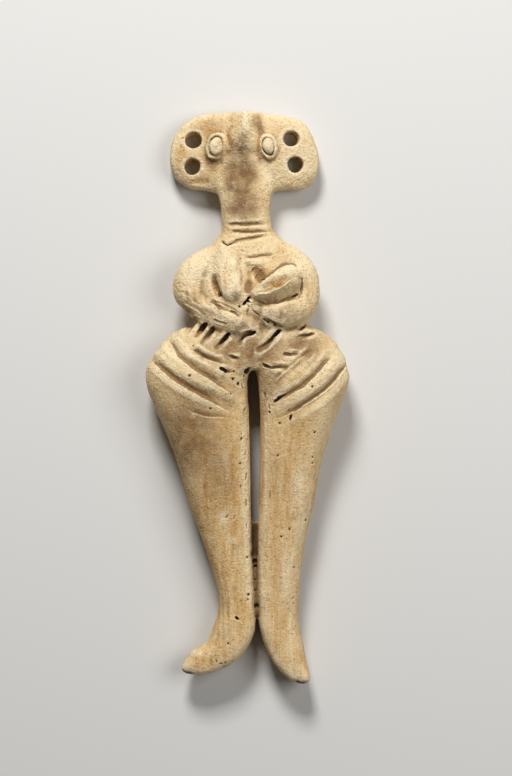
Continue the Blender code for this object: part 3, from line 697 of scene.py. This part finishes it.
def select_only(thing):
    """Selects one object and makes it the active one."""
    bpy.ops.object.select_all(action="DESELECT")
    thing.select_set(True)
    bpy.context.view_layer.objects.active = thing


def apply_modifier(thing, kind, **settings):
    """Adds a modifier of that kind to the object and applies it."""
    select_only(thing)
    bpy.ops.object.modifier_add(type=kind)
    modifier = thing.modifiers[-1]
    for name, value in settings.items():
        setattr(modifier, name, value)
    bpy.ops.object.modifier_apply(modifier=modifier.name)


def read_surface(thing):
    """(points in figure millimetres, outward normals) of the object's vertices."""
    count = len(thing.data.vertices)
    points = np.empty(count * 3)
    thing.data.vertices.foreach_get("co", points)
    normals = np.empty(count * 3)
    thing.data.vertex_normals.foreach_get("vector", normals)
    return (points.reshape(-1, 3) - FIGURE_ZERO) / MM, normals.reshape(-1, 3)


def write_surface(thing, points):
    """Puts points, in figure millimetres, back on the object's vertices, none outside the solid's box."""
    places = np.clip(points * MM + FIGURE_ZERO, LOW, HIGH)
    thing.data.vertices.foreach_set("co", places.ravel())
    thing.data.update()


def unsteady(points, size, amount):
    """Small smooth offsets, as an unsteady hand gives a line. size is their wavelength."""
    noise.seed_set(SEED)
    return amount * np.array([noise.noise_vector(place) for place in (points / size).tolist()])


def lumpy(points, size, drawn_out):
    """An uneven height at each point, from -1 to 1, of that wavelength, drawn out along the figure."""
    places = points / (size, size * drawn_out, size)
    return np.array([noise.noise(place) for place in places.tolist()])


def near_line(flat, line):
    """For each flat point: its distance from the line, how far along from 0 to 1, and -1 above or 1 below."""
    line = np.array(line, float)
    lengths = np.linalg.norm(np.diff(line, axis=0), axis=1)
    reached = np.concatenate([[0], np.cumsum(lengths)]) / lengths.sum()
    nearest = np.full(len(flat), np.inf)
    along = np.zeros(len(flat))
    side = np.ones(len(flat))
    for start, end, before, after in zip(line, line[1:], reached, reached[1:]):
        step = end - start
        t = np.clip((flat - start) @ step / (step @ step), 0, 1)
        offset = flat - start - t[:, None] * step
        away = np.linalg.norm(offset, axis=1)
        closer = away < nearest
        nearest[closer] = away[closer]
        along[closer] = (before + (after - before) * t)[closer]
        side[closer] = np.where(offset[closer, 1] < 0, 1, -1)
    return nearest, along, side


def drawn(along):
    """A drawn stroke: it sinks in soon and rises by three quarters at its end."""
    sinking = ramp(along, -0.02, 0.16)
    rising = 0.75 * ramp(along, 0.70, 1.0)
    return sinking * (1 - rising)


def jabbed(along):
    """A jab: deep where the stick went in, with a tenth of that left where it came out."""
    sinking = ramp(along, -0.10, 0.10)
    rising = 0.9 * ramp(along, 0.20, 1.0)
    return sinking * (1 - rising)


def even(along):
    """A press that is as deep at its ends as in its middle."""
    return np.ones_like(along)


def pressed(across):
    """The section of a soft press: round, with no lips."""
    return np.clip(1 - across**2, 0, 1) ** 1.5, np.zeros_like(across)


def cut(across):
    """The section of a cut made with the stick's point: steep sides and a low, crisp lip on both."""
    lip = np.exp(-(((np.abs(across) - LIP_AT) / LIP_SPREAD) ** 2))
    return np.clip(1 - across**2, 0, 1), LIP_HEIGHT * lip


def ridged(across):
    """The section beside a crest: a long slope down to it from above, a steep wall, and a slow fall below."""
    slope = ramp(across, SLOPE_START, SLOPE_END) * (1 - ramp(across, SLOPE_END, WALL_END))
    rise = ramp(across, WALL_START, WALL_END)
    fall = np.exp(-np.clip(across, 0, None) / CREST_FALL)
    return slope, CREST_HEIGHT * np.where(across > WALL_END, fall, rise)


def mark_shape(flat, mark, taper, section):
    """(how deep each flat point lies in the mark, how high on its lips), as shares of the mark's depth."""
    line = np.array(mark.line)
    margin = MARK_REACH * mark.half_width
    near = ((flat > line.min(axis=0) - margin) & (flat < line.max(axis=0) + margin)).all(axis=1)
    bed, lip = np.zeros(len(flat)), np.zeros(len(flat))
    away, along, side = near_line(flat[near], line)
    share = taper(along)
    across = away * side / (mark.half_width * (NARROWEST + (1 - NARROWEST) * share))
    down, up = section(across)
    bed[near] = share * down
    lip[near] = share * up
    return bed, lip


# Every kind of mark: the marks, how the depth runs along one, and the section across it
MARKS = (
    (PRESSES, even, pressed),
    (HIP_RIDGES, drawn, ridged),
    (CHEST_RIDGES, drawn, ridged),
    (CREASES, drawn, cut),
    (NECK_LINES, drawn, pressed),
    (WAIST_JABS, jabbed, cut),
    (CRACKS, drawn, cut),
    (LEG_SEAM, even, pressed),
)


def eye_shape(flat, eye, uneven):
    """(height in millimetres, darkness of earth and painted shade, paleness of rubbing and painted highlight)
    that an eye pellet with its ring adds at each flat point.
    """
    turn = math.radians(eye.lean)
    x, up = (flat - (eye.x, eye.height)).T
    across = (x * math.cos(turn) + up * math.sin(turn)) / eye.wide
    along = (up * math.cos(turn) - x * math.sin(turn)) / eye.tall
    out = np.hypot(across, along)
    angle = np.arctan2(along, across)
    arcs = (math.radians(eye.worn_at), math.radians(eye.deep_at))
    # The deep arc is only painted shade in the ring; it cuts the ring no deeper
    worn, deep = (np.exp((np.cos(angle - arc) - 1) / EYE_ARC) for arc in arcs)
    dome = EYE_DOME * np.clip(1 - (out / PELLET_EDGE) ** 4, 0, 1) * (1 + DOME_UNEVEN * uneven)
    ring = np.exp(-(((out - 1.0) / RING_SPREAD) ** 2)) * (1 - RING_WEAR * worn)
    rim = np.exp(-(((out - RIM_AT) / RIM_SPREAD) ** 2)) * (1 - RIM_WEAR * worn) * (1 + RIM_UNEVEN * uneven)
    height = dome - EYE_RING_DEPTH * ring + EYE_RIM * rim
    return height, ring * (RING_DIRT_AND_SHADE + ARC_SHADE * deep), np.clip(RIM_RUB_AND_HIGHLIGHT * rim, 0, 1)


def patchwork(flat, patches):
    """The strongest of some soft round patches at each flat point."""
    found = np.zeros(len(flat))
    for patch in patches:
        across = (flat[:, 0] - patch.x) / patch.wide
        up = (flat[:, 1] - patch.height) / patch.tall
        found = np.maximum(found, patch.strength * np.exp(-(across**2) - up**2))
    return found


def scattered_pits(points, crumbly, count):
    """Small pits as (centre, radius, depth), on points picked all over, more where it is crumbly."""
    rng = np.random.default_rng(SEED)
    chance = PIT_CHANCE + crumbly
    picked = rng.choice(len(points), count, replace=False, p=chance / chance.sum())
    sizes = PIT_RADIUS + PIT_SPREAD * rng.random(count) ** PIT_RARITY
    return [(points[i], size, size) for i, size in zip(picked, sizes)]


def named_pits(points, normals):
    """The larger pits, each set down on the front of the surface."""
    front = np.flatnonzero(normals[:, 2] > PITTED_FACING)
    found = []
    for place, radius, depth in PITS:
        nearest = front[np.argmin(np.linalg.norm(points[front, :2] - place, axis=1))]
        found.append((points[nearest], radius, depth))
    return found


def pit_shape(points, pit):
    """How deep each point lies in the pit, from 0 to 1."""
    centre, radius, _ = pit
    away = np.linalg.norm(points - centre, axis=1) / radius
    return np.clip(1 - away**2, 0, 1)


def store(thing, name, values):
    """Keeps a number for each vertex under a name that the material reads."""
    layer = thing.data.attributes.new(name, "FLOAT", "POINT")
    layer.data.foreach_set("value", values.astype(np.float32))


def softened(thing, points, rounds):
    """The points after each has moved to the middle of its neighbours that many times."""
    edges = np.empty(2 * len(thing.data.edges), np.int64)
    thing.data.edges.foreach_get("vertices", edges)
    a, b = edges.reshape(-1, 2).T
    count = len(points)
    links = np.bincount(a, minlength=count) + np.bincount(b, minlength=count)
    soft = points
    for _ in range(rounds):
        sums = [np.bincount(a, values[b], count) + np.bincount(b, values[a], count) for values in soft.T]
        soft = np.stack(sums, axis=1) / links[:, None]
    return soft


class FIGURINE_OT_clay_body(bpy.types.Operator):
    """Takes the solid's form as one lump of wet clay, smears its facets away and roughens it"""

    bl_idname = "figurine.clay_body"
    bl_label = "Clay Body"

    def execute(self, context):
        surface = context.scene.clay_surface
        select_only(frame["nodes"][NODE])
        bpy.ops.object.duplicate()
        body = context.view_layer.objects.active
        body.name = PIECE
        del body["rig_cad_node"]
        bpy.ops.object.parent_clear(type="CLEAR")
        bpy.ops.object.mode_set(mode="EDIT")
        bpy.ops.mesh.select_all(action="SELECT")
        bpy.ops.mesh.remove_doubles(threshold=JOINED_GAP * MM)
        bpy.ops.object.mode_set(mode="OBJECT")
        apply_modifier(body, "REMESH", mode="VOXEL", voxel_size=surface.grain)
        apply_modifier(body, "SMOOTH", factor=0.5, iterations=surface.smearing)
        points, normals = read_surface(body)
        front = ramp(normals[:, 2], *SMEARED_FACING)
        smear = front * patchwork(points[:, :2], [NOSE_SMEAR])
        points += smear[:, None] * (softened(body, points, surface.nose_smearing) - points)
        height = sum(tall * lumpy(points, size, drawn_out) for size, drawn_out, tall in LUMPS)
        height *= surface.roughness * (PLAIN_SHARE + CRUMBLY_SHARE * patchwork(points[:, :2], ROUGHS))
        height *= WIPED_SHARE + (1 - WIPED_SHARE) * ramp(points[:, 1], *WIPED_HEIGHTS)
        write_surface(body, points + normals * height[:, None])
        return {"FINISHED"}


class FIGURINE_OT_cut_marks(bpy.types.Operator):
    """Presses and cuts the crests, jabs, lines, creases, eye rings and pits into the clay"""

    bl_idname = "figurine.cut_marks"
    bl_label = "Cut Marks"

    def execute(self, context):
        surface = context.scene.clay_surface
        body = bpy.data.objects[PIECE]
        points, normals = read_surface(body)
        crumbled = points + unsteady(points, *CRUMBLING)
        flat = (crumbled + unsteady(points, *WAVERING))[:, :2]
        reach = ramp(normals[:, 2], *MARKED_FACING)
        grime = np.zeros(len(points))
        rub = np.zeros(len(points))
        move = np.zeros(len(points))
        for marks, taper, section in MARKS:
            for mark in marks:
                bed, lip = mark_shape(flat, mark, taper, section)
                move -= reach * mark.depth * (bed - lip)
                # A mark's bed is darkened with earth and painted shade
                grime = np.maximum(grime, mark.dirt * bed * reach)
                # Lips and crests are paled: wear, and a painted highlight
                rub = np.maximum(rub, lip * reach)
        for mark in HIGHLIGHT_STRIPS:
            strip, _ = mark_shape(flat, mark, drawn, pressed)
            rub = np.maximum(rub, STRIP_HIGHLIGHT * strip * reach)
        uneven = lumpy(points, UNEVEN_SIZE, 1.0)
        for eye in EYES:
            height, dirt, pale = eye_shape(flat, eye, uneven)
            move += reach * height
            grime = np.maximum(grime, dirt * reach)
            rub = np.maximum(rub, pale * reach)
        crumbly = reach * patchwork(points[:, :2], ROUGHS)
        for pit in named_pits(points, normals) + scattered_pits(points, crumbly, surface.pits):
            _, radius, depth = pit
            hole = pit_shape(crumbled, pit)
            move -= depth * hole
            grime = np.maximum(grime, np.minimum(1.0, PIT_DIRT_AND_SHADE * radius * hole))
        write_surface(body, points + normals * move[:, None])
        store(body, "grime", grime)
        # The pale patches add painted highlights to the rubbing
        store(body, "rub", np.maximum(rub, reach * patchwork(flat, PALES_AND_HIGHLIGHTS)))
        return {"FINISHED"}


class FIGURINE_OT_stain_clay(bpy.types.Operator):
    """Lays the stains and painted shade, the ochre patches and the depth of the hollows, for painted shade in
    them and painted highlights on bulges, on the surface, then thins it
    """

    bl_idname = "figurine.stain_clay"
    bl_label = "Stain Clay"

    def execute(self, context):
        surface = context.scene.clay_surface
        body = bpy.data.objects[PIECE]
        points, normals = read_surface(body)
        flat = (points + unsteady(points, *STAIN_DRIFT) + unsteady(points, *STAIN_FRAY))[:, :2]
        front = ramp(normals[:, 2], *STAINED_FACING)
        store(body, "stain", front * patchwork(flat, STAINS_AND_SHADE))
        store(body, "ochre", front * patchwork(flat, OCHRES))
        sunk = ((softened(body, points, HOLLOW_ROUNDS) - points) * normals).sum(axis=1)
        store(body, "hollow", np.clip(sunk / HOLLOW_DEPTH, -1, 1))
        back = np.flatnonzero(normals[:, 2] < BACK_FACING).tolist()
        body.vertex_groups.new(name="back").add(back, 1.0, "REPLACE")
        kept = 1 - (1 - surface.back_share) * len(back) / len(points)
        apply_modifier(body, "DECIMATE", ratio=kept, vertex_group="back", vertex_group_factor=1.0)
        body.vertex_groups.clear()
        body.data.calc_loop_triangles()
        share = surface.triangles / len(body.data.loop_triangles)
        if share < 1:
            apply_modifier(body, "DECIMATE", ratio=share)
        write_surface(body, read_surface(body)[0])
        return {"FINISHED"}


def node(tree, kind, inputs=None, **settings):
    """Adds a node to the tree. Inputs are values or other nodes' outputs, by socket name or number."""
    added = tree.nodes.new(kind)
    for name, value in settings.items():
        setattr(added, name, value)
    for socket, value in (inputs or {}).items():
        if isinstance(value, bpy.types.NodeSocket):
            tree.links.new(value, added.inputs[socket])
        else:
            added.inputs[socket].default_value = value
    return added


def fired_clay(colours):
    """Low-fired earthenware: buff, sandy and dead matt, with earth and painted shade in its cuts and hollows,
    painted highlights on its crests and bulges, and iron-stained patches.
    """
    material = bpy.data.materials.new("low-fired earthenware")
    material.use_nodes = True
    tree = material.node_tree
    tree.nodes.clear()
    place = node(tree, "ShaderNodeTexCoord").outputs["Object"]
    found = {"height up": node(tree, "ShaderNodeSeparateXYZ", {0: place}).outputs["Y"]}
    for name in ("stain", "ochre", "hollow", "rub", "grime"):
        found[name] = node(tree, "ShaderNodeAttribute", attribute_name=name).outputs["Fac"]
    for name, size, detail, roughness, drawn_out in CLAY_PATTERNS:
        per_metre = 1000 / size
        scale = (per_metre, per_metre / drawn_out, per_metre)
        scaled = node(tree, "ShaderNodeMapping", {"Vector": place, "Scale": scale})
        inputs = {"Vector": scaled.outputs[0], "Scale": 1.0, "Detail": detail, "Roughness": roughness}
        found[name] = node(tree, "ShaderNodeTexNoise", inputs).outputs["Fac"]
    for name, pattern, low, high, at_low, at_high in CLAY_MASKS:
        inputs = {"Value": found[pattern], 1: low, 2: high, 3: at_low, 4: at_high}
        found[name] = node(tree, "ShaderNodeMapRange", inputs, interpolation_type="SMOOTHSTEP").outputs[0]

    inputs = {"Factor": found["legs"], 6: colours.clay[:], 7: colours.leg[:]}
    colour = node(tree, "ShaderNodeMix", inputs, data_type="RGBA").outputs[2]
    for pattern, low, high, share, mask, tint in CLAY_LAYERS:
        inputs = {"Value": found[pattern], 1: low, 2: high, 3: 0.0, 4: share}
        cover = node(tree, "ShaderNodeMapRange", inputs, interpolation_type="SMOOTHSTEP").outputs[0]
        if mask:
            cover = node(tree, "ShaderNodeMath", {0: cover, 1: found[mask]}, operation="MULTIPLY").outputs[0]
        inputs = {"Factor": cover, 6: colour, 7: getattr(colours, tint)[:]}
        colour = node(tree, "ShaderNodeMix", inputs, data_type="RGBA").outputs[2]

    height = 0.0
    for pattern, share in CLAY_GRAIN:
        inputs = {0: found[pattern], 1: found.get(share, share), 2: height}
        height = node(tree, "ShaderNodeMath", inputs, operation="MULTIPLY_ADD").outputs[0]
    bump = node(tree, "ShaderNodeBump", {"Height": height, "Distance": GRAIN_HEIGHT, "Strength": 1.0})
    low, high, least, most = CLAY_ROUGHNESS
    inputs = {"Value": found["sand"], 1: low, 2: high, 3: least, 4: most}
    shader = node(
        tree,
        "ShaderNodeBsdfPrincipled",
        {
            "Base Color": colour,
            "Roughness": node(tree, "ShaderNodeMapRange", inputs).outputs[0],
            "Metallic": 0.0,
            "IOR": 1.45,
            "Specular IOR Level": 0.25,
            "Normal": bump.outputs[0],
        },
    )
    node(tree, "ShaderNodeOutputMaterial", {"Surface": shader.outputs[0]})
    return material


class FIGURINE_OT_fire_clay(bpy.types.Operator):
    """Fires the body and sets it in the frame in place of the plain solid"""

    bl_idname = "figurine.fire_clay"
    bl_label = "Fire Clay"

    def execute(self, context):
        body = bpy.data.objects[PIECE]
        body.data.materials.clear()
        body.data.materials.append(fired_clay(context.scene.clay_colours))
        select_only(body)
        bpy.ops.object.shade_smooth()
        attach(body, "root")
        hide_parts(NODE)
        return {"FINISHED"}


class FIGURINE_OT_studio(bpy.types.Operator):
    """Lays a pale floor, hangs two soft lights and sets the camera straight above the figure"""

    bl_idname = "figurine.studio"
    bl_label = "Studio"

    def execute(self, context):
        studio = context.scene.studio
        bpy.ops.object.select_all(action="DESELECT")
        bpy.ops.mesh.primitive_plane_add(size=FLOOR_WIDTH, location=(0.0, 0.0, -FLOOR_DROP))
        floor = context.object
        floor.name = "floor"
        # Rolled matt emulsion: an even, pale ground with no gloss, on which soft shadows show
        paint = bpy.data.materials.new("matt floor paint")
        paint.use_nodes = True
        shader = paint.node_tree.nodes["Principled BSDF"]
        shader.inputs["Base Color"].default_value = studio.floor[:]
        shader.inputs["Roughness"].default_value = 0.9
        floor.data.materials.append(paint)
        lights = (
            ("key", studio.key_power, KEY_WIDTH, Vector(KEY_PLACE)),
            ("fill", studio.fill_power, FILL_WIDTH, Vector(FILL_PLACE)),
        )
        for name, power, width, place in lights:
            turn = (-place).to_track_quat("-Z", "Y").to_euler()
            bpy.ops.object.light_add(type="AREA", location=place, rotation=turn)
            lamp = context.object
            lamp.name = name
            lamp.data.energy = power
            lamp.data.size = width
        world = bpy.data.worlds.new("studio")
        world.use_nodes = True
        background = world.node_tree.nodes["Background"]
        background.inputs["Color"].default_value = (1.0, 1.0, 1.0, 1.0)
        background.inputs["Strength"].default_value = studio.ambient
        context.scene.world = world
        context.scene.view_settings.view_transform = "Standard"
        self.set_camera(context, studio)
        return {"FINISHED"}

    def set_camera(self, context, studio):
        """Frames the figure as the photograph does, at the level of its middle depth."""
        per_pixel = (HIGH.y - LOW.y) / (TOE_Y - CROWN_Y)
        middle = (LOW + HIGH) / 2
        x = middle.x + (PHOTO_WIDTH / 2 - OUTLINE_MIDDLE_X) * per_pixel
        y = middle.y - (PHOTO_HEIGHT / 2 - (CROWN_Y + TOE_Y) / 2) * per_pixel
        bpy.ops.object.camera_add(location=(x, y, middle.z + studio.distance), rotation=(0.0, 0.0, 0.0))
        camera = context.object
        camera.data.sensor_fit = "VERTICAL"
        camera.data.sensor_height = SENSOR_HEIGHT
        camera.data.lens = SENSOR_HEIGHT * studio.distance / (PHOTO_HEIGHT * per_pixel)
        camera.data.clip_end = SIGHT
        context.scene.camera = camera


class FIGURINE_PT_panel(bpy.types.Panel):
    """The steps of the finish, in order"""

    bl_label = "Clay Figurine"
    bl_idname = "FIGURINE_PT_panel"
    bl_space_type = "VIEW_3D"
    bl_region_type = "UI"
    bl_category = "Figurine"

    def draw(self, context):
        layout = self.layout
        for group in (context.scene.clay_surface, context.scene.clay_colours, context.scene.studio):
            box = layout.box()
            for name in group.__annotations__:
                box.prop(group, name)
        for step in STEPS:
            layout.operator(step.bl_idname)


GROUPS = {"clay_surface": ClaySurface, "clay_colours": ClayColours, "studio": Studio}
STEPS = (
    FIGURINE_OT_clay_body,
    FIGURINE_OT_cut_marks,
    FIGURINE_OT_stain_clay,
    FIGURINE_OT_fire_clay,
    FIGURINE_OT_studio,
)


def register():
    """Registers the classes and gives the scene their settings."""
    for kind in (*GROUPS.values(), *STEPS, FIGURINE_PT_panel):
        bpy.utils.register_class(kind)
    for name, kind in GROUPS.items():
        setattr(bpy.types.Scene, name, bpy.props.PointerProperty(type=kind))


def unregister():
    """Takes the settings and the classes away."""
    for name in GROUPS:
        delattr(bpy.types.Scene, name)
    for kind in (FIGURINE_PT_panel, *reversed(STEPS), *reversed(GROUPS.values())):
        bpy.utils.unregister_class(kind)


def main():
    """Makes the figurine and its stage."""
    register()
    bpy.ops.figurine.clay_body()
    bpy.ops.figurine.cut_marks()
    bpy.ops.figurine.stain_clay()
    bpy.ops.figurine.fire_clay()
    bpy.ops.figurine.studio()


if __name__ == "__main__":
    main()
